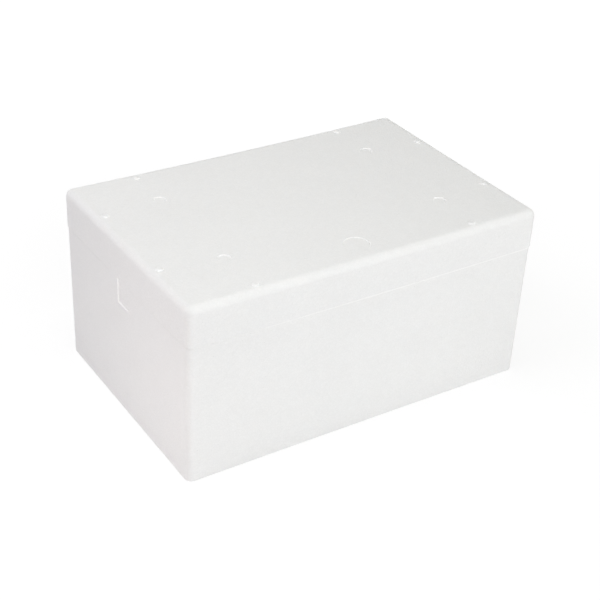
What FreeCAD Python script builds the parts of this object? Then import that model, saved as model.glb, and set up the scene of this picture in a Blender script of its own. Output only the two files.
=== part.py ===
"""Transport box of expanded polystyrene: a thick-walled base and the lid that lifts off it.

X runs along the box, Y across it and Z up. The origin is the middle of the underside. Lengths are in
millimetres and angles in degrees. Both mouldings are drawn where they lie when the box is shut.
"""
import FreeCAD, Part
import math
import os
import re
import Sketcher
from FreeCAD import Vector

doc = FreeCAD.newDocument("FoamBox")

# Driving sizes
SIZES = {
    # the base
    "base_length": 596.0,        # outside, at the rim
    "base_width": 393.0,         # outside, at the rim
    "base_height": 228.0,        # underside to the seat of the lid
    "wall": 35.0,                # outside to cavity, at the rim
    "floor_thickness": 35.0,
    "outer_corner": 12.0,        # radius of the outside uprights
    "cavity_corner": 28.0,       # radius of the cavity's uprights
    "cavity_floor_edge": 14.0,   # radius between the cavity's walls and floor
    "foot_edge": 1.5,            # bevel round the underside
    "outer_draft": 0.25,         # lean of the outside walls, which lets the mould come off
    "cavity_draft": 1.0,         # lean of the cavity's walls
    # the joint between base and lid
    "tongue_width": 16.0,        # at its root, from the cavity outwards
    "tongue_height": 18.0,
    "tongue_draft": 3.0,
    "tongue_edge": 3.0,          # bevel along the top of the tongue, which leads the lid on
    "joint_gap": 1.0,            # play beside and above the tongue
    "rim_edge": 2.4,             # radius of the base's outside edge at the seam
    # the lid
    "end_overhang": 1.0,         # how far the lid stands proud of the base's ends
    "side_overhang": 1.5,        # and of its long sides
    "lid_corner": 12.5,          # radius of the lid's outside uprights
    "lid_edge": 0.6,             # bevel of the lid's outside edge at the seam
    "lid_height": 62.0,          # seat to the lid's top
    "lid_top_edge": 11.5,        # radius round the lid's top
    "lip_width": 14.0,           # wall that hangs inside the tongue
    "lip_edge": 2.5,             # bevel along the lip's lower edges
    "lid_plate": 38.0,           # thickness over the hollow
    "hollow_draft": 8.0,         # lean of the hollow's walls
    "hollow_corner": 22.0,       # radius of the hollow's uprights at its mouth
    "hollow_edge": 9.0,          # radius between the hollow's walls and ceiling
    # the finger notch in each end wall, under the seam
    "notch_width": 35.0,
    "notch_height": 42.5,        # from the seat down to the ledge
    "notch_depth": 2.0,
    "notch_corner": 3.0,
    "notch_draft": 5.0,
    # marks that the moulding tool leaves
    "pin_mark": 20.0,            # diameter of an ejector pin's mark
    "pin_mark_depth": 1.2,
    "pin_from_end": 111.5,       # lid's end to the mark's centre
    "pin_from_side": 99.5,       # lid's long side to the mark's centre
    "filler_mark": 40.0,         # diameter of a bead filler's mark
    "filler_mark_depth": 0.8,
    "filler_from_side": 47.5,
    "pip": 12.0,                 # diameter of a stacking pip at its foot
    "pip_height": 1.8,
    "pip_draft": 45.0,
    "pip_inset": 17.5,           # nearest edge of the lid to the pip's centre
    "pip_from_end": 113.5,       # along the long sides
    "pip_from_side": 112.0,      # along the ends
}

sheet = doc.addObject("Spreadsheet::Sheet", "Sizes")
for row, (alias, size) in enumerate(SIZES.items(), start=1):
    sheet.set("A%d" % row, alias.replace("_", " "))
    sheet.set("B%d" % row, str(size))
    sheet.setAlias("B%d" % row, alias)
doc.recompute()

# Sizes that follow from the driving ones, written in the sheet's names
LID_LENGTH = "(base_length + 2 * end_overhang)"
LID_WIDTH = "(base_width + 2 * side_overhang)"
LID_TOP = "(base_height + lid_height)"
CAVITY_LENGTH = "(base_length - 2 * wall)"
CAVITY_WIDTH = "(base_width - 2 * wall)"
TONGUE_LENGTH = "(base_length - 2 * wall + 2 * tongue_width)"
TONGUE_WIDTH = "(base_width - 2 * wall + 2 * tongue_width)"
TONGUE_CORNER = "(cavity_corner + tongue_width)"
TONGUE_TOP = "(base_height + tongue_height)"
GROOVE_DEPTH = "(tongue_height + joint_gap)"
GROOVE_TOP = "(base_height + tongue_height + joint_gap)"
LIP_LENGTH = "(base_length - 2 * wall - 2 * joint_gap)"
LIP_WIDTH = "(base_width - 2 * wall - 2 * joint_gap)"
LIP_NARROWING = "(2 * (tongue_height + joint_gap) * tan(cavity_draft * 1deg))"

TOUCH = 0.01  # two heights or lengths closer than this are the same


def in_sheet(text):
    """Puts the sheet's name before each size in an expression."""
    return re.sub(r"\b(%s)\b" % "|".join(SIZES), r"Sizes.\1", text)


def value(text):
    """What an expression in the sheet's names comes to."""
    return float(sheet.evalExpression(in_sheet(text)))


def bind(feature, prop, text):
    feature.setExpression(prop, in_sheet(text))


def plane(body, role):
    return next(item for item in body.Origin.OriginFeatures if item.Role == role)


def new_body(name):
    body = doc.addObject("PartDesign::Body", name)
    body.Label = name
    return body


def new_sketch(body, name, offset, role="XY_Plane"):
    """A sketch parallel to one of the body's planes, moved along that plane's normal."""
    sketch = body.newObject("Sketcher::SketchObject", name)
    sketch.AttachmentSupport = [(plane(body, role), "")]
    sketch.MapMode = "FlatFace"
    bind(sketch, "AttachmentOffset.Base.z", offset)
    return sketch


def add_size(sketch, name, text, *places):
    """Adds one named dimension, (type, geometry and point numbers), bound to the sheet."""
    number = sketch.addConstraint(Sketcher.Constraint(*places, value(text)))
    sketch.renameConstraint(number, name)
    bind(sketch, "Constraints." + name, text)


def rounded_rectangle(sketch, length, width, radius):
    """A rectangle with round corners, centred on the sketch's origin."""
    x, y, r = value(length) / 2, value(width) / 2, value(radius)
    ends = [((r - x, -y), (x - r, -y)), ((x, r - y), (x, y - r)),
            ((x - r, y), (r - x, y)), ((-x, y - r), (-x, r - y))]
    for start, end in ends:
        sketch.addGeometry(Part.LineSegment(Vector(*start, 0), Vector(*end, 0)), False)
    centres = [(x - r, r - y), (x - r, y - r), (r - x, y - r), (r - x, r - y)]
    for quarter, (cx, cy) in enumerate(centres):
        circle = Part.Circle(Vector(cx, cy, 0), Vector(0, 0, 1), r)
        start, finish = math.radians(90 * quarter - 90), math.radians(90 * quarter)
        sketch.addGeometry(Part.ArcOfCircle(circle, start, finish), False)
    for side in range(4):
        arc, following = 4 + side, (side + 1) % 4
        sketch.addConstraint(Sketcher.Constraint("Tangent", side, 2, arc, 1))
        sketch.addConstraint(Sketcher.Constraint("Tangent", arc, 2, following, 1))
        sketch.addConstraint(Sketcher.Constraint("Vertical" if side % 2 else "Horizontal", side))
    for arc in (5, 6, 7):
        sketch.addConstraint(Sketcher.Constraint("Equal", 4, arc))
    sketch.addConstraint(Sketcher.Constraint("Symmetric", 4, 3, 6, 3, -1, 1))
    add_size(sketch, "length", length, "DistanceX", 3, 1, 1, 1)
    add_size(sketch, "width", width, "DistanceY", 0, 1, 2, 1)
    add_size(sketch, "radius", radius, "Radius", 4)


def circles(sketch, centres, diameter):
    """Equal circles; each centre is a pair of expressions, and its signs say which side it lies."""
    for number, (x_sign, x, y_sign, y) in enumerate(centres):
        cx, cy = x_sign * value(x), y_sign * value(y)
        sketch.addGeometry(Part.Circle(Vector(cx, cy, 0), Vector(0, 0, 1), value(diameter) / 2), False)
        for axis, sign, text in (("X", x_sign, x), ("Y", y_sign, y)):
            if sign == 0:
                sketch.addConstraint(Sketcher.Constraint("PointOnObject", number, 3, -2))
                continue
            ends = (-1, 1, number, 3) if sign > 0 else (number, 3, -1, 1)
            add_size(sketch, "centre%s%d" % (axis, number), text, "Distance" + axis, *ends)
        if number:
            sketch.addConstraint(Sketcher.Constraint("Equal", 0, number))
    add_size(sketch, "diameter", diameter, "Diameter", 0)


def pad(body, name, sketch, length, taper="0", down=False):
    return extrude(body, "PartDesign::Pad", name, sketch, length, taper, down)


def pocket(body, name, sketch, depth, taper="0", against=False):
    """Cuts against the sketch's normal, or along it where `against` is set."""
    before = body.Tip.Shape.Volume
    cut = extrude(body, "PartDesign::Pocket", name, sketch, depth, taper, against)
    if cut.Shape.Volume > before - 1:
        raise RuntimeError("%s cuts nothing" % name)
    return cut


def extrude(body, kind, name, sketch, length, taper, reverse):
    """Pads or cuts a sketch; a taper above zero makes the far end the smaller one."""
    feature = body.newObject(kind, name)
    feature.Profile = sketch
    feature.Reversed = reverse
    bind(feature, "Length", length)
    bind(feature, "TaperAngle", "-1deg * (%s)" % taper)
    doc.recompute()
    return feature


def outline(feature, height, length):
    """Names of the edges of the flat outline at a height that is so long along X."""
    shape, level, span = feature.Shape, value(height), value(length)
    names = []
    for wire in shape.Wires:
        box = wire.BoundBox
        flat = abs(box.ZMin - level) < TOUCH and abs(box.ZMax - level) < TOUCH
        if flat and abs(box.XLength - span) < TOUCH:
            for edge in wire.Edges:
                names += ["Edge%d" % (n + 1) for n, other in enumerate(shape.Edges) if other.isSame(edge)]
    if not names:
        raise RuntimeError("no outline %s long at height %s" % (length, height))
    return sorted(set(names))


def fillet(body, name, edge_names, radius):
    """Rounds the named edges of the body's last feature."""
    return dress(body, "PartDesign::Fillet", name, edge_names, "Radius", radius)


def chamfer(body, name, edge_names, size):
    """Bevels the named edges of the body's last feature by the same amount on both sides."""
    return dress(body, "PartDesign::Chamfer", name, edge_names, "Size", size)


def dress(body, kind, name, edge_names, prop, text):
    last = body.Tip
    feature = body.newObject(kind, name)
    feature.Base = (last, edge_names)
    bind(feature, prop, text)
    doc.recompute()
    return feature


# The base
def make_base():
    body = new_body("box_base")

    sketch = new_sketch(body, "BaseOutline", "base_height")
    rounded_rectangle(sketch, "base_length", "base_width", "outer_corner")
    block = pad(body, "BaseBlock", sketch, "base_height", "outer_draft", down=True)
    foot = "base_length - 2 * base_height * tan(outer_draft * 1deg)"
    chamfer(body, "FootEdge", outline(block, "0", foot), "foot_edge")

    sketch = new_sketch(body, "TongueOutline", "base_height")
    rounded_rectangle(sketch, TONGUE_LENGTH, TONGUE_WIDTH, TONGUE_CORNER)
    tongue = pad(body, "Tongue", sketch, "tongue_height", "tongue_draft")
    fillet(body, "RimEdge", outline(tongue, "base_height", "base_length"), "rim_edge")

    sketch = new_sketch(body, "CavityOutline", TONGUE_TOP)
    rounded_rectangle(sketch, CAVITY_LENGTH, CAVITY_WIDTH, "cavity_corner")
    depth = TONGUE_TOP + " - floor_thickness"
    cavity = pocket(body, "Cavity", sketch, depth, "cavity_draft")
    bottom = "%s - 2 * (%s) * tan(cavity_draft * 1deg)" % (CAVITY_LENGTH, depth)
    fillet(body, "CavityFloorEdge", outline(cavity, "floor_thickness", bottom), "cavity_floor_edge")
    crest = "%s - 2 * tongue_height * tan(tongue_draft * 1deg)" % TONGUE_LENGTH
    edges = outline(body.Tip, TONGUE_TOP, CAVITY_LENGTH) + outline(body.Tip, TONGUE_TOP, crest)
    chamfer(body, "TongueEdges", edges, "tongue_edge")

    cut_notches(body)

    sketch = new_sketch(body, "BasePinMarks", "0")
    circles(sketch, pin_places(), "pin_mark")
    pocket(body, "BasePinRecesses", sketch, "pin_mark_depth", against=True)
    sketch = new_sketch(body, "BaseFillerMarks", "0")
    across = LID_WIDTH + " / 2 - filler_from_side"
    circles(sketch, [(0, "0", 1, across), (0, "0", -1, across)], "filler_mark")
    pocket(body, "BaseFillerRecesses", sketch, "filler_mark_depth", against=True)
    return body


# The finger notches, one in each end wall: open at the seat, with a ledge at the bottom
def cut_notches(body):
    sketch = new_sketch(body, "NotchOutline", "-base_length / 2", "YZ_Plane")
    rounded_rectangle(sketch, "notch_width", "2 * notch_height", "notch_corner")
    bind(sketch, "AttachmentOffset.Base.y", "base_height")
    notch = pocket(body, "Notch", sketch, "notch_depth", "notch_draft", against=True)
    both = body.newObject("PartDesign::Mirrored", "NotchAtBothEnds")
    both.Originals = [notch]
    both.MirrorPlane = (plane(body, "YZ_Plane"), [""])
    body.Tip = both
    doc.recompute()


def pin_places():
    """Centres of the four ejector pins' marks, one in each quarter."""
    along, across = LID_LENGTH + " / 2 - pin_from_end", LID_WIDTH + " / 2 - pin_from_side"
    return [(sx, along, sy, across) for sx in (-1, 1) for sy in (-1, 1)]


def pip_places():
    """Centres of the eight pips: two along each long side and two along each end."""
    end, side = LID_LENGTH + " / 2 - pip_inset", LID_WIDTH + " / 2 - pip_inset"
    along, across = LID_LENGTH + " / 2 - pip_from_end", LID_WIDTH + " / 2 - pip_from_side"
    signs = [(sx, sy) for sx in (-1, 1) for sy in (-1, 1)]
    return ([(sx, along, sy, side) for sx, sy in signs] + [(sx, end, sy, across) for sx, sy in signs])


# The lid
def make_lid():
    body = new_body("box_lid")

    sketch = new_sketch(body, "LidOutline", "base_height")
    rounded_rectangle(sketch, LID_LENGTH, LID_WIDTH, "lid_corner")
    block = pad(body, "LidBlock", sketch, "lid_height", "outer_draft")
    top = "%s - 2 * lid_height * tan(outer_draft * 1deg)" % LID_LENGTH
    fillet(body, "LidTopEdge", outline(block, LID_TOP, top), "lid_top_edge")
    chamfer(body, "LidEdge", outline(body.Tip, "base_height", LID_LENGTH), "lid_edge")

    sketch = new_sketch(body, "GrooveOutline", "base_height")
    rounded_rectangle(sketch, TONGUE_LENGTH + " + 2 * joint_gap", TONGUE_WIDTH + " + 2 * joint_gap",
                      TONGUE_CORNER + " + joint_gap")
    pocket(body, "Groove", sketch, GROOVE_DEPTH, "tongue_draft", against=True)

    sketch = new_sketch(body, "LipOutline", GROOVE_TOP)
    rounded_rectangle(sketch, LIP_LENGTH, LIP_WIDTH, "cavity_corner - joint_gap")
    pad(body, "Lip", sketch, GROOVE_DEPTH, "cavity_draft", down=True)

    sketch = new_sketch(body, "HollowOutline", "base_height")
    mouth = "%s - %s - 2 * lip_width" % (LIP_LENGTH, LIP_NARROWING)
    across = "%s - %s - 2 * lip_width" % (LIP_WIDTH, LIP_NARROWING)
    rounded_rectangle(sketch, mouth, across, "hollow_corner")
    hollow = pocket(body, "Hollow", sketch, "lid_height - lid_plate", "hollow_draft", against=True)
    ceiling = "%s - 2 * (lid_height - lid_plate) * tan(hollow_draft * 1deg)" % mouth
    fillet(body, "HollowEdge", outline(hollow, LID_TOP + " - lid_plate", ceiling), "hollow_edge")
    foot = "%s - %s" % (LIP_LENGTH, LIP_NARROWING)
    edges = outline(body.Tip, "base_height", foot) + outline(body.Tip, "base_height", mouth)
    chamfer(body, "LipEdges", edges, "lip_edge")

    sketch = new_sketch(body, "LidPinMarks", LID_TOP)
    circles(sketch, pin_places(), "pin_mark")
    pocket(body, "LidPinRecesses", sketch, "pin_mark_depth")
    sketch = new_sketch(body, "LidFillerMark", LID_TOP)
    circles(sketch, [(0, "0", -1, LID_WIDTH + " / 2 - filler_from_side")], "filler_mark")
    pocket(body, "LidFillerRecess", sketch, "filler_mark_depth")
    sketch = new_sketch(body, "PipCircles", LID_TOP)
    circles(sketch, pip_places(), "pip")
    pad(body, "Pips", sketch, "pip_height", "pip_draft")
    return body


bodies = [make_base(), make_lid()]
doc.recompute()

for item in doc.Objects:
    if "Invalid" in item.State or "Error" in item.State:
        raise RuntimeError("%s failed: %s" % (item.Label, item.State))
os.makedirs("parts", exist_ok=True)
for body in bodies:
    shape = body.Shape
    if shape.isNull() or not shape.isValid() or len(shape.Solids) != 1:
        raise RuntimeError("%s isn't one valid solid" % body.Label)
    shape.exportStep("parts/%s.step" % body.Label)
    box = shape.optimalBoundingBox()
    print("%s: %.1f x %.1f x %.1f mm, %.2f litres of foam"
          % (body.Label, box.XLength, box.YLength, box.ZLength, shape.Volume / 1e6))
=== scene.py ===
# %% [markdown]
# # A foam transport box
#
# The object is a box of expanded polystyrene. Beads of foam are blown into a metal mould, and steam
# swells them until they weld together. Two mouldings make the box: a thick-walled base with a tongue
# round its rim, and a lid whose groove drops over that tongue. The CAD frame already holds the true
# sizes and the sliding joint, so the first cell loads it. Its box is kept.

# %% Load the CAD frame
import math

import bmesh
import bpy
import numpy as np
from mathutils import Matrix, Vector


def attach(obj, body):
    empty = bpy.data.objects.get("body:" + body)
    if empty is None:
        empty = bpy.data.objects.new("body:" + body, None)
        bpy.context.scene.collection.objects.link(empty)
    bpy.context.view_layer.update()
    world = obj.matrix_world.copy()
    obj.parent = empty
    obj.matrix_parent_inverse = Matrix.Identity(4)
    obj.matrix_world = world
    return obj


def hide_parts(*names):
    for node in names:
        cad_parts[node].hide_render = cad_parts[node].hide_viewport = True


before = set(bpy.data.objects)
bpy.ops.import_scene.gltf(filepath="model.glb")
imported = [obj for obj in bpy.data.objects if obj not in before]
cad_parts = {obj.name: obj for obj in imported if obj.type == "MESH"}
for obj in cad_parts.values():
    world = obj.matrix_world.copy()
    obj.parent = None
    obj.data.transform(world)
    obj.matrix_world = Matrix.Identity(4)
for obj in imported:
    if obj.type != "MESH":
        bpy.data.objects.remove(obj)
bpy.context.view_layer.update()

# %% [markdown]
# ## One outline, at any size
#
# Every horizontal slice of the box is a rectangle with round corners. If all slices have the same
# number of points, then any two of them join up with plain quads, and a whole moulding becomes one
# clean stack. A cube with bevels would do for the outside, but not for the groove, the tongue and
# the leaning walls, so the slices are written out here. Lengths are in millimetres until the mesh
# is made.

# %% Points round one slice
MM = 0.001
LONG_STEPS, END_STEPS, CORNER_STEPS = 48, 32, 10  # along a long side, along an end, round a corner


def slice_points(length, width, radius, height):
    """Points of a rounded rectangle, anticlockwise, starting at the left of the front side."""
    x, y = length / 2 - radius, width / 2 - radius
    points = []
    corners = [(x, -y, LONG_STEPS), (x, y, END_STEPS), (-x, y, LONG_STEPS), (-x, -y, END_STEPS)]
    for turn, (cx, cy, steps) in enumerate(corners):
        start = math.radians(90 * turn - 90)
        out = np.array([math.cos(start), math.sin(start)]) * radius
        before = np.array(corners[turn - 1][:2])
        for step in range(steps):
            points.append(before + (np.array([cx, cy]) - before) * step / steps + out)
        for step in range(CORNER_STEPS):
            angle = start + math.radians(90) * step / CORNER_STEPS
            points.append(np.array([cx + radius * math.cos(angle), cy + radius * math.sin(angle)]))
    return np.column_stack([points, np.full(len(points), height)])


print("points in a slice:", len(slice_points(596, 393, 12, 0)))

# %% [markdown]
# ## The section through a wall
#
# Cut the box across and the cut face shows how it is moulded: walls that lean a little so the mould
# comes off, a tongue that leans more, and edges that are never sharp. A section is a list of
# corners. Each has its inset from the outside, its height, the radius that softens it, and the inset
# of the point that the slice's round corners turn about. This helper walks the corners and puts a
# small arc at each. A Bevel modifier could round them too, but here every edge needs its own radius.

# %% Round the corners of a section
ARC_STEPS = 6
LONGEST_STEP = 18  # mm between two slices on a long straight wall


def rounded_section(corners):
    """Turns (inset, height, softening, centre) corners into (inset, height, centre) stations."""
    stations = []
    for number, (inset, height, softening, centre) in enumerate(corners):
        here = np.array([inset, height])
        if not 0 < number < len(corners) - 1 or softening == 0:
            stations.append((*here, centre))
            continue
        to_last = np.array(corners[number - 1][:2]) - here
        to_next = np.array(corners[number + 1][:2]) - here
        to_last, to_next = to_last / np.linalg.norm(to_last), to_next / np.linalg.norm(to_next)
        half_angle = math.acos(np.clip(to_last @ to_next, -1, 1)) / 2
        middle = (to_last + to_next) / np.linalg.norm(to_last + to_next)
        hub = here + middle * softening / math.sin(half_angle)
        first = here + to_last * softening / math.tan(half_angle) - hub
        last = here + to_next * softening / math.tan(half_angle) - hub
        for step in range(ARC_STEPS + 1):
            mix = first * (1 - step / ARC_STEPS) + last * step / ARC_STEPS
            stations.append((*(hub + mix / np.linalg.norm(mix) * softening), centre))
    return stations


def split_long_walls(stations):
    """Adds stations on long straight walls, so that they can bow later."""
    filled = [stations[0]]
    for last, following in zip(stations, stations[1:]):
        parts = max(1, math.ceil(math.dist(last[:2], following[:2]) / LONGEST_STEP))
        for part in range(1, parts + 1):
            filled.append(tuple(np.array(last) + (np.array(following) - last) * part / parts))
    return filled


# %% [markdown]
# ## From stations to a mesh
#
# The slices are stacked and joined, and the two open ends are closed by flat grids. A single large
# polygon would close them too, but it can't bow and it shades badly round the marks that are pressed
# in later. Each grid's corners lie at the centres of the slice's round corners, so a fan of
# triangles fills each corner and strips fill the rest.

# %% Stack the slices and close both ends
def cap(points, faces, ring, rectangle, height):
    """Closes the ring of points that starts at index `ring` with a grid on the rectangle."""
    first = len(points)
    x, y = rectangle
    for row in range(END_STEPS + 1):
        for column in range(LONG_STEPS + 1):
            points.append((x * (2 * column / LONG_STEPS - 1), y * (2 * row / END_STEPS - 1), height))

    def grid(column, row):
        return first + row * (LONG_STEPS + 1) + column

    for row in range(END_STEPS):
        for column in range(LONG_STEPS):
            faces.append((grid(column, row), grid(column + 1, row),
                          grid(column + 1, row + 1), grid(column, row + 1)))
    borders = [[grid(n, 0) for n in range(LONG_STEPS + 1)],
               [grid(LONG_STEPS, n) for n in range(END_STEPS + 1)],
               [grid(LONG_STEPS - n, END_STEPS) for n in range(LONG_STEPS + 1)],
               [grid(0, END_STEPS - n) for n in range(END_STEPS + 1)]]
    count = 2 * (LONG_STEPS + END_STEPS) + 4 * CORNER_STEPS
    place = 0
    for border in borders:
        for last, following in zip(border, border[1:]):
            faces.append((ring + place, ring + (place + 1) % count, following, last))
            place += 1
        for _ in range(CORNER_STEPS):
            faces.append((ring + place, ring + (place + 1) % count, border[-1]))
            place += 1


def mesh_object(name, points, faces):
    """Makes an object from points in millimetres, with its faces turned outwards."""
    mesh = bpy.data.meshes.new(name)
    mesh.from_pydata((np.array(points) * MM).tolist(), [], faces)
    shape = bmesh.new()
    shape.from_mesh(mesh)
    bmesh.ops.recalc_face_normals(shape, faces=shape.faces)
    shape.to_mesh(mesh)
    shape.free()
    made = bpy.data.objects.new(name, mesh)
    bpy.context.scene.collection.objects.link(made)
    return made


OUTSIDE = 16  # mm; stations with a smaller inset belong to a moulding's outside


def moulding(name, length, width, corners, longer=0):
    """A closed moulding with a section's corners; its outside alone is longer at both ends."""
    stations = split_long_walls(rounded_section(corners))
    points, faces, lengths = [], [], []
    for inset, height, centre in stations:
        lengths.append(length + 2 * longer if inset < OUTSIDE else length)
        ring = slice_points(lengths[-1] - 2 * inset, width - 2 * inset, centre - inset, height)
        points.extend(map(tuple, ring))
    count = len(points) // len(stations)
    for level in range(len(stations) - 1):
        for place in range(count):
            low, high, beside = level * count, (level + 1) * count, (place + 1) % count
            faces.append((low + place, low + beside, high + beside, high + place))
    for level in (0, len(stations) - 1):
        height, centre = stations[level][1:]
        cap(points, faces, level * count, (lengths[level] / 2 - centre, width / 2 - centre), height)
    made = mesh_object(name, points, faces)
    print(name, "has", len(made.data.polygons), "faces")
    return made


# %% [markdown]
# ## The base
#
# The base is the tub. Its outside walls lean in by a quarter of a degree, its cavity by one degree,
# and its rim carries the tongue that the lid drops over. It could be cut out of a block with
# Booleans, but then every lean and every soft edge would be one more step, and one section gives them
# all. The corners below start under the box, go up the outside, over the tongue and down into the
# cavity.

# %% Mould the base
BASE_LENGTH, BASE_WIDTH = 596, 393
SEAT, TONGUE_TOP, CAVITY_FLOOR = 228, 246, 35  # heights
SEAT_WIDTH, WALL = 19, 35
OUTSIDE_LEAN, TONGUE_LEAN, CAVITY_LEAN = 0.25, 3, 1  # degrees
OUTER_CENTRE, RIM_CENTRE = 12, 63  # what the corners of the outside and of the cavity turn about


def lean(rise, degrees):
    """How far a leaning wall moves sideways over a rise."""
    return rise * math.tan(math.radians(degrees))


foot = lean(SEAT, OUTSIDE_LEAN)
base = moulding("base_moulding", BASE_LENGTH, BASE_WIDTH, [
    (foot + 6, 0, 0, OUTER_CENTRE),
    (foot, 0, 1.6, OUTER_CENTRE),
    (0, SEAT, 2.4, OUTER_CENTRE),
    (SEAT_WIDTH, SEAT, 0.8, RIM_CENTRE),
    (SEAT_WIDTH + lean(TONGUE_TOP - SEAT, TONGUE_LEAN), TONGUE_TOP, 3, RIM_CENTRE),
    (WALL, TONGUE_TOP, 3, RIM_CENTRE),
    (WALL + lean(TONGUE_TOP - CAVITY_FLOOR, CAVITY_LEAN), CAVITY_FLOOR, 14, RIM_CENTRE),
    (56, CAVITY_FLOOR, 0, RIM_CENTRE),
])

# %% [markdown]
# ## The lid
#
# The lid stands a little proud of the base all round, and its top edge is much softer than any other
# edge. Underneath, a groove takes the tongue, a lip hangs inside it, and the middle is hollowed to
# save foam. It has more corners than the base, yet the same call moulds it, which is what made the
# helper worth writing. The corners start on the top, go down the outside, up the groove, down the lip
# and up into the hollow.

# %% Mould the lid
LID_LENGTH, LID_WIDTH = 598, 396
LID_TOP, GROOVE_TOP, HOLLOW_TOP = 290, 247, 252
SIDE_OVERHANG = (LID_WIDTH - BASE_WIDTH) / 2
LONGER = (LID_LENGTH - BASE_LENGTH) / 2 - SIDE_OVERHANG
JOINT_GAP, LIP_WIDTH = 1, 14
LIP_LEAN, HOLLOW_LEAN = 1, 8  # degrees
LID_CENTRE, GROOVE_CENTRE = 12.5, RIM_CENTRE + SIDE_OVERHANG
groove_outside = SEAT_WIDTH + SIDE_OVERHANG - JOINT_GAP
groove_inside = WALL + SIDE_OVERHANG + JOINT_GAP
lip_outside = groove_inside + lean(GROOVE_TOP - SEAT, LIP_LEAN)
lip_inside = lip_outside + LIP_WIDTH
HOLLOW_CENTRE = lip_inside + 22
lid = moulding("lid_moulding", LID_LENGTH - 2 * LONGER, LID_WIDTH, [
    (12.2, LID_TOP, 0, LID_CENTRE),
    (lean(LID_TOP - SEAT, OUTSIDE_LEAN), LID_TOP, 11.5, LID_CENTRE),
    (0, SEAT, 0.6, LID_CENTRE),
    (groove_outside, SEAT, 0.8, GROOVE_CENTRE),
    (groove_outside + lean(GROOVE_TOP - SEAT, TONGUE_LEAN), GROOVE_TOP, 0.8, GROOVE_CENTRE),
    (groove_inside, GROOVE_TOP, 0.8, GROOVE_CENTRE),
    (lip_outside, SEAT, 2.5, GROOVE_CENTRE),
    (lip_inside, SEAT, 2.5, HOLLOW_CENTRE),
    (lip_inside + lean(HOLLOW_TOP - SEAT, HOLLOW_LEAN), HOLLOW_TOP, 9, HOLLOW_CENTRE),
    (66, HOLLOW_TOP, 0, HOLLOW_CENTRE),
], LONGER)

# %% [markdown]
# ## Tools for the small marks
#
# Ejector pins push the mouldings out of the tool and leave round dents, the bead fillers leave wider
# and shallower ones, and each end wall has a finger notch under the seam. Each mark is cut by a solid
# tool with the Boolean modifier. The tools flare where they leave the foam, because the rim of a
# moulded mark is never sharp. The faces that a tool leaves carry an attribute, which says how strong a
# painted highlight they get, and the foam's material lightens them by it later.

# %% Round and boxy tools
ROUND_STEPS = 64
FLARE = 3  # mm by which a tool is wider where it ends outside the foam


def stack(name, rings):
    """A closed solid through rings of points, in order."""
    count = len(rings[0])
    points = [tuple(point) for ring in rings for point in ring]
    faces = [tuple(range(count)), tuple(range(len(points) - count, len(points)))]
    for level in range(len(rings) - 1):
        for place in range(count):
            low, high, beside = level * count, (level + 1) * count, (place + 1) % count
            faces.append((low + place, low + beside, high + beside, high + place))
    return mesh_object(name, points, faces)


def turned_tool(name, x, y, section):
    """A round solid: each (radius, height) of the section becomes a ring about a vertical line."""
    turn = np.linspace(0, 2 * math.pi, ROUND_STEPS, endpoint=False)
    cosines, sines = np.cos(turn), np.sin(turn)
    return stack(name, [np.column_stack([x + radius * cosines, y + radius * sines,
                                         np.full(ROUND_STEPS, height)])
                        for radius, height in section])


def dent_section(radius, depth, surface, outwards, rim=0.6):
    """Section of a round dent's tool; outwards is 1 on a top and -1 on an underside."""
    slope = math.radians(45)
    wall = depth - rim * (1 - math.sin(slope))  # height of the straight slope, and its width too
    stations = [(radius - wall - 0.4, -depth), (radius - wall - 0.1, -depth + 0.08),
                (radius - wall, -depth + 0.16)]
    for angle in map(math.radians, (45, 60, 75)):
        stations.append((radius + rim * (math.cos(slope) - math.cos(angle)),
                         rim * (math.sin(angle) - 1)))
    stations.append((radius + rim + FLARE, 1))
    return [(ring, surface + outwards * height) for ring, height in stations]


# %% Cut, and mark the faces that the tools leave
HIGHLIGHT_ATTRIBUTE = "painted_highlight"  # the attribute's name
DENT_HIGHLIGHT, NOTCH_HIGHLIGHT = 0.6, 1.0  # from 0, plain foam, to 1, the full painted highlight


def mark_faces(piece, values):
    """Writes how strong a painted highlight each face gets, from 0 to 1, for the material to read."""
    mesh = piece.data
    marks = mesh.attributes.get(HIGHLIGHT_ATTRIBUTE) or mesh.attributes.new(HIGHLIGHT_ATTRIBUTE, "FLOAT", "FACE")
    marks.data.foreach_set("value", values)


def shape_with(piece, tools, operation, painted_highlight=DENT_HIGHLIGHT):
    """Runs the Boolean for each tool, keeps the result and throws the tools away."""
    if HIGHLIGHT_ATTRIBUTE not in piece.data.attributes:
        mark_faces(piece, [0.0] * len(piece.data.polygons))
    for tool in tools:
        sides = [len(face.vertices) == 4 for face in tool.data.polygons]  # its ends have more points
        # the sides of each tool carry a painted highlight onto the faces that it leaves
        mark_faces(tool, [painted_highlight * side for side in sides])
        step = piece.modifiers.new(tool.name, "BOOLEAN")
        step.object, step.operation, step.solver = tool, operation, "EXACT"
    depsgraph = bpy.context.evaluated_depsgraph_get()
    result = bpy.data.meshes.new_from_object(piece.evaluated_get(depsgraph))
    piece.modifiers.clear()
    piece.data = result
    for tool in tools:
        bpy.data.objects.remove(tool)
    highlighted_faces = sum(mark.value > 0 for mark in result.attributes[HIGHLIGHT_ATTRIBUTE].data)
    print(piece.name, "after", operation.lower(), "has", len(result.polygons), "faces,",
          highlighted_faces, "of them pressed")


# %% [markdown]
# ## Marks on the lid and under the base
#
# Four pin dents and one filler dent are on the lid. Eight small pips stand near its edges, where they
# keep stacked boxes from sticking together. The same pins and two fillers mark the underside. Bump in
# the material could fake them, but a real rim catches the light from every side. A pip's section is a
# low dome, and each of its rings is one (radius, height) pair. It is a trace lower than the CAD's pip,
# because the lid's set, further down, lifts some of the pips.

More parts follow.
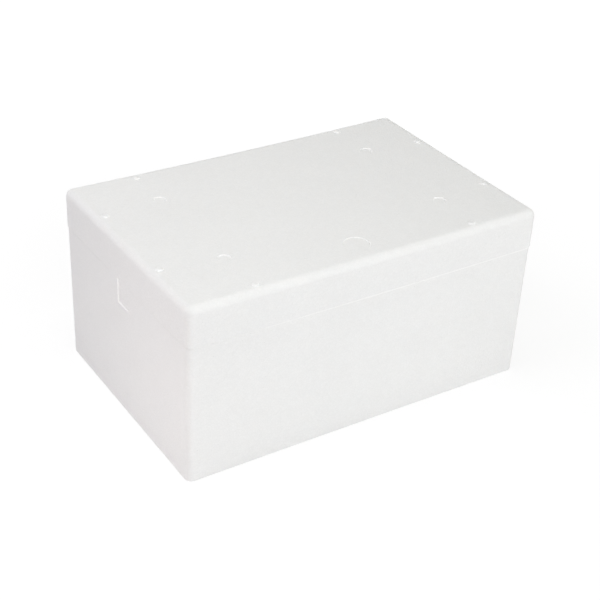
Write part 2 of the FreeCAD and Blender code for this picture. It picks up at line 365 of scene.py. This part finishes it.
# %% Press in the dents and add the pips
PIN_X, PIN_Y, PIN_RADIUS, PIN_DEPTH = 187.5, 98.5, 10, 1.2
FILLER_Y, FILLER_RADIUS, FILLER_DEPTH, FILLER_RIM = 150.5, 20, 0.8, 0.4
SIDE_PIP_X, SIDE_PIP_Y = 185.5, 180.5  # the pips near the front and the back
END_PIP_X, END_PIP_Y = 281.5, 86  # the pips near the ends
PIP_DOME = [(6, -2), (6, -0.1), (5.6, 0.5), (5.1, 1), (4.5, 1.4), (3.7, 1.6), (2.8, 1.63)]


def four_places(x, y):
    """The same place in each quarter of the box."""
    return [(side_x * x, side_y * y) for side_x in (-1, 1) for side_y in (-1, 1)]


def pin_dents(surface, outwards):
    section = dent_section(PIN_RADIUS, PIN_DEPTH, surface, outwards)
    return [turned_tool("pin_dent", x, y, section) for x, y in four_places(PIN_X, PIN_Y)]


def filler_dent(y, surface, outwards):
    section = dent_section(FILLER_RADIUS, FILLER_DEPTH, surface, outwards, FILLER_RIM)
    return turned_tool("filler_dent", 0, y, section)


pip_section = [(radius, LID_TOP + height) for radius, height in PIP_DOME]
pip_places = four_places(SIDE_PIP_X, SIDE_PIP_Y) + four_places(END_PIP_X, END_PIP_Y)
# the dents, the pips and the dents underneath are real shapes, and their faces also get a painted
# highlight
shape_with(lid, pin_dents(LID_TOP, 1) + [filler_dent(-FILLER_Y, LID_TOP, 1)], "DIFFERENCE")
shape_with(lid, [turned_tool("pip", x, y, pip_section) for x, y in pip_places], "UNION")
underside_fillers = [filler_dent(side * FILLER_Y, 0, -1) for side in (-1, 1)]
shape_with(base, pin_dents(0, -1) + underside_fillers, "DIFFERENCE")

# %% [markdown]
# ## The finger notches
#
# A shallow notch in each end wall, open at the seam, gives a finger a hold under the lid's edge. Its
# sides lean, its lower corners are a little round, and it ends in a ledge. The tool is a stack of
# slices again, on its side. It reaches as far above the seam as below, where there is nothing to cut.

# %% Cut the notches
NOTCH_WIDTH, NOTCH_HEIGHT, NOTCH_DEPTH, NOTCH_CORNER = 35, 42.5, 2, 3
NOTCH_RIM = 0.7  # mm that softens the notch's outer edge
SIDE_LEAN, LEDGE_LEAN = 20, 35  # degrees


def notch_tool(side):
    """The notch's solid at one end: side is -1 for the left end and 1 for the right one."""
    stations = [(NOTCH_DEPTH, -0.9), (NOTCH_DEPTH - 0.12, -0.5), (NOTCH_DEPTH - 0.5, -0.1)]
    for angle in map(math.radians, (0, 20, 40, 60, 78)):
        stations.append((NOTCH_RIM * (1 - math.sin(angle)), NOTCH_RIM * (1 - math.cos(angle))))
    stations.append((-FLARE, FLARE))
    rings = []
    for depth, growth in stations:
        wider = growth - lean(max(depth, 0), SIDE_LEAN)
        lower = growth - lean(max(depth, 0), LEDGE_LEAN)
        ring = slice_points(NOTCH_WIDTH + 2 * wider, 2 * (NOTCH_HEIGHT + lower),
                            NOTCH_CORNER + lower, 0)
        x = side * (BASE_LENGTH / 2 - depth)
        rings.append([(x, across, SEAT + up) for across, up, _ in ring])
    return stack("notch", rings)


# the notches' sides and ledges get the full painted highlight
shape_with(base, [notch_tool(-1), notch_tool(1)], "DIFFERENCE", NOTCH_HIGHLIGHT)

# %% [markdown]
# ## Where the mouldings meet
#
# Along the front and the back the two edges at the seam get a painted highlight, most of all towards
# the right, with the same mark as the sides of the dents and notches. A second material on these
# faces would have a hard border, and an attribute can fade along the box.

# %% Paint a highlight on the edges at the seam
SEAM_REACH, SEAM_SIDE = 2.6, 193.5  # mm from the seam's height, and mm from the box's middle line
FADE_START, FADE_LENGTH = -290, 250  # mm along the box, from unmarked to fully marked


def paint_seam_highlight(piece):
    """Paints a highlight on the long sides' outside edges at the seam, fading towards the left end."""
    marks = piece.data.attributes[HIGHLIGHT_ATTRIBUTE].data
    for mark, face in zip(marks, piece.data.polygons):
        along, across, height = face.center / MM
        if abs(height - SEAT) < SEAM_REACH and abs(across) > SEAM_SIDE:
            mark.value = min(1, max(0, (along - FADE_START) / FADE_LENGTH))
    print(piece.name, "has", sum(mark.value > 0 for mark in marks), "marked faces")


paint_seam_highlight(base)
paint_seam_highlight(lid)

# %% [markdown]
# ## The set of the foam
#
# A foam moulding cools from the skin inwards and shrinks as it ages, so its long sides pull in by
# nearly a millimetre between the corners and the top sinks by two or three. One corner of the lid
# stands up instead. The same gentle push moves the points of both mouldings, so the lid still sits on
# its seat. A Lattice modifier could do it too, but a formula says plainly how far each place moves.
# The corner rises by less than a pip's height, so the model stays in the CAD box.

# %% Let the mouldings settle
PULL_LOW, PULL_HIGH = 0.9, 0.5  # mm at mid-length: at the foot and at the lid's top
SINK = 2.5  # mm at mid-length, on the lid's top
CURL = 1.5  # mm that the lid's right front corner stands up
CURL_SPREAD, CURL_RISE = 4, 8  # powers; the higher, the closer the curl keeps to the corner and the top


def settle(piece):
    """Pulls the long sides in and lets the top sink, most at mid-length and not at the corners."""
    mesh = piece.data
    place = np.empty(len(mesh.vertices) * 3)
    mesh.vertices.foreach_get("co", place)
    place = place.reshape(-1, 3)
    middle = 1 - np.clip(place[:, 0] / (LID_LENGTH / 2 * MM), -1, 1) ** 2
    rise = place[:, 2] / (LID_TOP * MM)
    pull = PULL_LOW + (PULL_HIGH - PULL_LOW) * rise
    place[:, 1] *= 1 - pull * middle / (BASE_WIDTH / 2)
    towards_right = np.clip(0.5 + place[:, 0] / (LID_LENGTH * MM), 0, 1)
    towards_front = np.clip(0.5 - place[:, 1] / (LID_WIDTH * MM), 0, 1)
    place[:, 2] -= SINK * MM * middle * rise
    corner = (towards_right * towards_front) ** CURL_SPREAD
    place[:, 2] += CURL * MM * corner * rise ** CURL_RISE
    mesh.vertices.foreach_set("co", place.ravel())
    mesh.update()


for piece in (base, lid):
    settle(piece)
    for face in piece.data.polygons:
        face.use_smooth = True
    piece.data.set_sharp_from_angle(angle=math.radians(50))
    weighting = piece.modifiers.new("flat faces lead", "WEIGHTED_NORMAL")
    weighting.keep_sharp = True
    print(piece.name, "settled")

# %% [markdown]
# ## The foam's skin
#
# Close up, expanded polystyrene shows its beads: flattened cells a few millimetres across with fine
# grooves between them and a pinhole here and there. Light goes a little way into the foam before it
# comes back out. A picture of foam would repeat and would have to be unwrapped, so nodes draw it.
# Voronoi texture makes such cells, and its distance to the edge is the groove. The beads only tint
# the colour by a hundredth or so, since from a few paces the box looks plain white. The grooves and
# the pinholes are darkened as painted shade. Faces that carry the mark are lighter, as a painted
# highlight. All the tones multiply into one factor, which mixes black with the white of the full
# painted highlight.

# %% The foam material
BEAD, PINHOLE, PATCH = 0.0044, 0.0016, 0.09  # metres across a bead, a pinhole and a patch of tone
WAVE, GRAIN = 0.07, 0.0005  # metres across a soft wave of the surface and a grain of the skin
WAVE_DEPTH, GROOVE_DEPTH, PINHOLE_DEPTH, GRAIN_DEPTH = 0.0003, 0.00008, 0.0003, 0.00002
GROOVE_WIDTH = 0.16  # against the size of a bead
PINHOLE_START, PINHOLE_FULL = 0.70, 0.76  # values of the noise, whose peaks are the pinholes
# the white of the full painted highlight; plain foam is a little darker
FOAM_AND_HIGHLIGHT_WHITE = (0.98, 0.98, 0.97, 1)
PLAIN_TO_HIGHLIGHT = 0.9 / 0.98  # how light plain foam is against the full painted highlight
DARK_BEAD, GROOVE_SHADE, PINHOLE_SHADE, DARK_PATCH = 0.985, 0.975, 0.8, 0.99  # against the lightest; the groove and pinhole tones are painted shade


def foam_material():
    material = bpy.data.materials.new("expanded_foam")
    material.use_nodes = True
    nodes, links = material.node_tree.nodes, material.node_tree.links
    shader = nodes["Principled BSDF"]
    place = nodes.new("ShaderNodeTexCoord").outputs["Object"]

    def voronoi(feature, size):
        cells = nodes.new("ShaderNodeTexVoronoi")
        cells.feature = feature
        cells.inputs["Scale"].default_value = 1 / size
        links.new(place, cells.inputs["Vector"])
        return cells

    def noise(size, detail):
        cloud = nodes.new("ShaderNodeTexNoise")
        cloud.inputs["Scale"].default_value = 1 / size
        cloud.inputs["Detail"].default_value = detail
        links.new(place, cloud.inputs["Vector"])
        return cloud.outputs["Fac"]

    def ranged(value, low, high, to_low=0.0, to_high=1.0):
        spread = nodes.new("ShaderNodeMapRange")
        spread.interpolation_type = "SMOOTHSTEP"
        limits = {"From Min": low, "From Max": high, "To Min": to_low, "To Max": to_high}
        for socket, number in limits.items():
            spread.inputs[socket].default_value = number
        links.new(value, spread.inputs["Value"])
        return spread.outputs["Result"]

    def math_node(operation, first, second):
        node = nodes.new("ShaderNodeMath")
        node.operation = operation
        for socket, value in zip(node.inputs, (first, second)):
            if isinstance(value, float):
                socket.default_value = value
            else:
                links.new(value, socket)
        return node.outputs["Value"]

    def bump(height, depth, below=None):
        node = nodes.new("ShaderNodeBump")
        node.inputs["Distance"].default_value = depth
        links.new(height, node.inputs["Height"])
        if below is not None:
            links.new(below, node.inputs["Normal"])
        return node.outputs["Normal"]

    bead_top = ranged(voronoi("DISTANCE_TO_EDGE", BEAD).outputs["Distance"], 0.0, GROOVE_WIDTH)
    bead_tone = nodes.new("ShaderNodeSeparateColor")
    links.new(voronoi("F1", BEAD).outputs["Color"], bead_tone.inputs["Color"])
    groove = math_node("SUBTRACT", 1.0, bead_top)
    pinhole = ranged(noise(PINHOLE, 2.0), PINHOLE_START, PINHOLE_FULL)
    solid = math_node("SUBTRACT", 1.0, math_node("MULTIPLY", pinhole, groove))

    # the grooves between beads and the pinholes are darkened as painted shade
    tone = math_node("MULTIPLY", ranged(bead_tone.outputs["Red"], 0.0, 1.0, DARK_BEAD),
                     ranged(bead_top, 0.0, 1.0, GROOVE_SHADE))
    tone = math_node("MULTIPLY", tone, ranged(solid, 0.0, 1.0, PINHOLE_SHADE))
    tone = math_node("MULTIPLY", tone, ranged(noise(PATCH, 3.0), 0.3, 0.7, DARK_PATCH))
    # faces with the attribute are lightened as a painted highlight
    painted_highlight = nodes.new("ShaderNodeAttribute")
    painted_highlight.attribute_name = HIGHLIGHT_ATTRIBUTE
    tone = math_node("MULTIPLY", tone, ranged(painted_highlight.outputs["Fac"], 0.0, 1.0, PLAIN_TO_HIGHLIGHT))
    colour = nodes.new("ShaderNodeMix")
    colour.data_type = "RGBA"
    colour.inputs["A"].default_value = (0.0, 0.0, 0.0, 1)
    colour.inputs["B"].default_value = FOAM_AND_HIGHLIGHT_WHITE
    links.new(tone, colour.inputs["Factor"])
    links.new(colour.outputs["Result"], shader.inputs["Base Color"])

    normal = bump(noise(WAVE, 1.0), WAVE_DEPTH)
    normal = bump(bead_top, GROOVE_DEPTH, normal)
    normal = bump(solid, PINHOLE_DEPTH, normal)
    normal = bump(noise(GRAIN, 1.0), GRAIN_DEPTH, normal)
    links.new(normal, shader.inputs["Normal"])
    shader.inputs["Roughness"].default_value = 0.62
    shader.inputs["Specular IOR Level"].default_value = 0.35
    shader.inputs["Subsurface Weight"].default_value = 0.2
    shader.inputs["Subsurface Radius"].default_value = (1.0, 0.95, 0.9)
    shader.inputs["Subsurface Scale"].default_value = 0.004
    return material


# %% [markdown]
# ## Join the frame
#
# Each moulding rides on the CAD body of its own name and stands for one CAD solid, which stays for
# collision alone. When the lid's joint slides, the lid moulding goes up with it.

# %% Give the mouldings their finish and their bodies
foam = foam_material()
for piece, body, node, slot in ((base, "base", "box_base", "base_foam"),
                                (lid, "lid", "box_lid", "lid_foam")):
    piece.data.materials.clear()
    piece.data.materials.append(foam)
    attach(piece, body)
    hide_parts(node)
    print(piece.name, "rides on", body)

# %% [markdown]
# ## Floor and backdrop
#
# The photograph's ground is pure white. The floor is matt white, and for the camera alone most of its
# light is its own, so that the lit floor reaches white while a trace of the box's shadow stays. That
# share grows with the distance from the box. More lamps would make the floor white too, but then the
# foam would lose its shades, so only the camera and gloss see this glow.

# %% A white floor that keeps the shadow
FLOOR_PAINT, FLOOR_GLOW = (0.9, 0.9, 0.9, 1), 1.07
NEAR, FAR, NEAR_SHARE, FAR_SHARE = 0.45, 1.4, 0.78, 1.0  # metres from the middle, and shares of glow


def seen_directly(nodes, links):
    """1 for rays from the camera, from gloss or through glass, and 0 for the light on the foam."""
    path = nodes.new("ShaderNodeLightPath")
    total = path.outputs["Is Camera Ray"]
    for name in ("Is Glossy Ray", "Is Transmission Ray"):
        either = nodes.new("ShaderNodeMath")
        either.operation = "MAXIMUM"
        links.new(total, either.inputs[0])
        links.new(path.outputs[name], either.inputs[1])
        total = either.outputs["Value"]
    return total


def white_floor():
    bpy.ops.mesh.primitive_plane_add(size=12)
    floor = bpy.context.object
    floor.name = "floor"
    material = bpy.data.materials.new("white_floor")
    material.use_nodes = True
    nodes, links = material.node_tree.nodes, material.node_tree.links
    paint, output = nodes["Principled BSDF"], nodes["Material Output"]
    paint.inputs["Base Color"].default_value = FLOOR_PAINT
    paint.inputs["Roughness"].default_value = 1.0
    paint.inputs["Specular IOR Level"].default_value = 0.0
    glow = nodes.new("ShaderNodeEmission")
    glow.inputs["Strength"].default_value = FLOOR_GLOW
    distance, share = nodes.new("ShaderNodeVectorMath"), nodes.new("ShaderNodeMapRange")
    distance.operation = "LENGTH"
    links.new(nodes.new("ShaderNodeTexCoord").outputs["Object"], distance.inputs[0])
    limits = {"From Min": NEAR, "From Max": FAR, "To Min": NEAR_SHARE, "To Max": FAR_SHARE}
    for socket, number in limits.items():
        share.inputs[socket].default_value = number
    links.new(distance.outputs["Value"], share.inputs["Value"])
    mixed, chosen = nodes.new("ShaderNodeMixShader"), nodes.new("ShaderNodeMath")
    chosen.operation = "MULTIPLY"
    links.new(seen_directly(nodes, links), chosen.inputs[0])
    links.new(share.outputs["Result"], chosen.inputs[1])
    links.new(chosen.outputs["Value"], mixed.inputs["Fac"])
    links.new(paint.outputs["BSDF"], mixed.inputs[1])
    links.new(glow.outputs["Emission"], mixed.inputs[2])
    links.new(mixed.outputs["Shader"], output.inputs["Surface"])
    floor.data.materials.append(material)
    print("the floor's own glow is", FLOOR_GLOW)


white_floor()

# %% [markdown]
# ## The world
#
# Above the horizon the world is white for the camera as well. A backdrop of cloth could do that, but
# it would stand in the way of other views. The light that the world puts on the foam is much weaker
# and only fills the shade between the lamps, and Light Path tells the two apart.

# %% White above the horizon
LIGHT_OF_WORLD = 0.2
world = bpy.data.worlds.new("studio")
bpy.context.scene.world = world
world.use_nodes = True
nodes, links = world.node_tree.nodes, world.node_tree.links
strength = nodes.new("ShaderNodeMapRange")
strength.inputs["To Min"].default_value = LIGHT_OF_WORLD
strength.inputs["To Max"].default_value = 1.0
links.new(seen_directly(nodes, links), strength.inputs["Value"])
links.new(strength.outputs["Result"], nodes["Background"].inputs["Strength"])
nodes["Background"].inputs["Color"].default_value = (1, 1, 1, 1)
print("world lights the box at", LIGHT_OF_WORLD)

# %% [markdown]
# ## Lamps
#
# The photograph was lit by large soft boxes. The long front side is the brightest, the top falls off
# towards the back right, and the left end is the darkest, with a trace of pink. Disc lamps throw such
# light, and a small one close to the left end makes its near part the lighter one. Places are in
# metres, powers in watts, and each colour is only a trace away from white.

# %% Soft boxes
LIT_POINT = Vector((0, 0, 0.15))  # all lamps point at the middle of the box


def soft_box(name, place, width, power, colour):
    lamp = bpy.data.lights.new(name, "AREA")
    lamp.shape, lamp.size, lamp.energy, lamp.color = "DISK", width, power, colour
    holder = bpy.data.objects.new(name, lamp)
    bpy.context.scene.collection.objects.link(holder)
    holder.location = place
    holder.rotation_euler = (LIT_POINT - Vector(place)).to_track_quat("-Z", "Y").to_euler()
    holder.visible_camera = False


for name, place, width, power, colour in (
        ("overhead", (0.00, 0.00, 2.60), 1.6, 19.8, (0.984, 1.0, 0.935)),
        ("front_left", (-1.07, -2.30, 0.69), 1.2, 7.4, (0.954, 0.961, 1.0)),
        ("front_right", (0.87, -2.39, 0.69), 1.2, 16.3, (1.0, 0.999, 1.0)),
        ("far_right", (1.63, -1.95, 0.69), 1.2, 6.4, (1.0, 1.0, 1.0)),
        ("high_front", (-0.40, -0.70, 1.00), 0.5, 0.97, (0.972, 0.99, 1.0)),
        ("high_left", (-1.20, 0.00, 2.23), 1.2, 10.5, (0.967, 0.944, 1.0)),
        ("back_left", (-1.59, 1.59, 1.45), 1.2, 11.4, (0.965, 0.921, 1.0)),
        ("low_left", (-0.75, -0.25, 0.15), 0.3, 0.42, (1.0, 0.884, 0.843))):
    soft_box(name, place, width, power, colour)
    print("soft box", name, "at", place)

# %% [markdown]
# ## The camera
#
# The camera stands to the left of the front side and looks down on the lid. Its angles, distance and
# lens were solved from the box's outline in the photograph, where a straight model of these sizes
# fits to about a pixel.

# %% Place the camera
AZIMUTH, ELEVATION, ROLL = (math.radians(degrees) for degrees in (-33.667, 31.654, 2.853))
DISTANCE, LENS = 2.0907, 80.274  # metres and millimetres
SHIFT_RIGHT, SHIFT_UP = 0.00476, -0.02868  # of the point looked at, from the middle of the box

camera = bpy.data.objects.new("camera", bpy.data.cameras.new("camera"))
bpy.context.scene.collection.objects.link(camera)
bpy.context.scene.camera = camera
camera.data.lens, camera.data.sensor_width = LENS, 36
back = Vector((math.sin(AZIMUTH) * math.cos(ELEVATION), -math.cos(AZIMUTH) * math.cos(ELEVATION),
               math.sin(ELEVATION)))
level = Vector((math.cos(AZIMUTH), math.sin(AZIMUTH), 0))
upright = back.cross(level)
right = math.cos(ROLL) * level + math.sin(ROLL) * upright
up = math.cos(ROLL) * upright - math.sin(ROLL) * level
aim = Vector((0, 0, LID_TOP / 2 * MM)) + SHIFT_RIGHT * right + SHIFT_UP * up
turned = Matrix((right, up, back)).transposed().to_4x4()
camera.matrix_world = Matrix.Translation(aim + DISTANCE * back) @ turned
bpy.context.scene.view_settings.view_transform = "Standard"
print("camera at", [round(value, 3) for value in camera.location])
